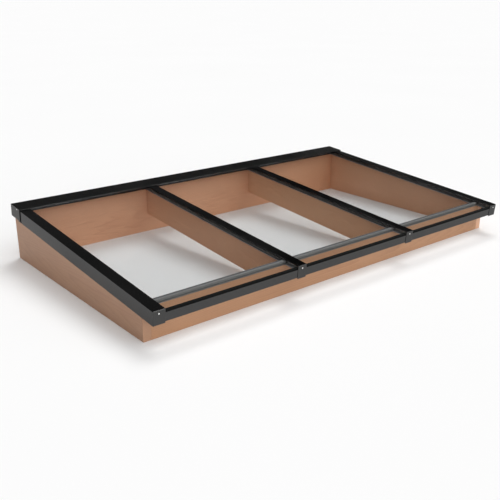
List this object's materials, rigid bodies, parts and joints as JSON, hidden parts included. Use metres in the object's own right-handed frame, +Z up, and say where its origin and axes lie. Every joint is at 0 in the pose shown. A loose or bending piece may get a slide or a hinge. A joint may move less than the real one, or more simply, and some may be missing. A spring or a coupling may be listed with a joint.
{
  "type": "roof skylight",
  "caption": "Fixed wedge-shaped roof skylight: timber kerb with rafters, sloping sealed glass units between black aluminium glazing bars, eaves trims and a wide back cover.",
  "frame": {"origin": "under the middle of the whole part, on the plane that the kerb stands on", "axes": "+X across the bays, +Y up the slope towards the back cover, +Z up"},
  "size_m": [3.0176, 1.7581, 0.3762],
  "materials": {
    "timber": "bare planed softwood, satin",
    "black_metal": "black powder coat, satin",
    "glass": "clear float, polished",
    "grey_metal": "grey anodised",
    "rubber": "matt black",
    "steel": "bright stainless"
  },
  "bodies": {
    "root": {"kerb_front_board": "timber", "kerb_back_board": "timber", "kerb_side_board_left": "timber", "kerb_side_board_right": "timber", "rafter_left": "timber", "rafter_right": "timber", "bar_base_side_left": "black_metal", "bar_cap_side_left": "black_metal", "end_cap_side_left": "black_metal", "bar_base_mid_left": "black_metal", "bar_cap_mid_left": "black_metal", "end_cap_mid_left": "black_metal", "bar_base_mid_right": "black_metal", "bar_cap_mid_right": "black_metal", "end_cap_mid_right": "black_metal", "bar_base_side_right": "black_metal", "bar_cap_side_right": "black_metal", "end_cap_side_right": "black_metal", "outer_pane_left": "glass", "inner_pane_left": "glass", "spacer_left": "grey_metal", "edge_seal_left": "rubber", "low_gasket_left": "rubber", "top_gasket_left": "rubber", "front_transom_left": "grey_metal", "back_transom_left": "black_metal", "eaves_trim_left": "black_metal", "eaves_seal_left": "rubber", "outer_pane_middle": "glass", "inner_pane_middle": "glass", "spacer_middle": "grey_metal", "edge_seal_middle": "rubber", "low_gasket_middle": "rubber", "top_gasket_middle": "rubber", "front_transom_middle": "grey_metal", "back_transom_middle": "black_metal", "eaves_trim_middle": "black_metal", "eaves_seal_middle": "rubber", "outer_pane_right": "glass", "inner_pane_right": "glass", "spacer_right": "grey_metal", "edge_seal_right": "rubber", "low_gasket_right": "rubber", "top_gasket_right": "rubber", "front_transom_right": "grey_metal", "back_transom_right": "black_metal", "eaves_trim_right": "black_metal", "eaves_seal_right": "rubber", "back_rail": "black_metal", "back_cover": "black_metal", "back_end_cap_left": "black_metal", "back_end_cap_right": "black_metal", "corner_seals": "rubber", "end_plugs": "rubber", "end_cap_screws": "steel", "back_cap_screws": "steel", "bar_screws": "steel", "transom_screws": "steel", "rail_screws": "steel"}
  },
  "joints": []
}
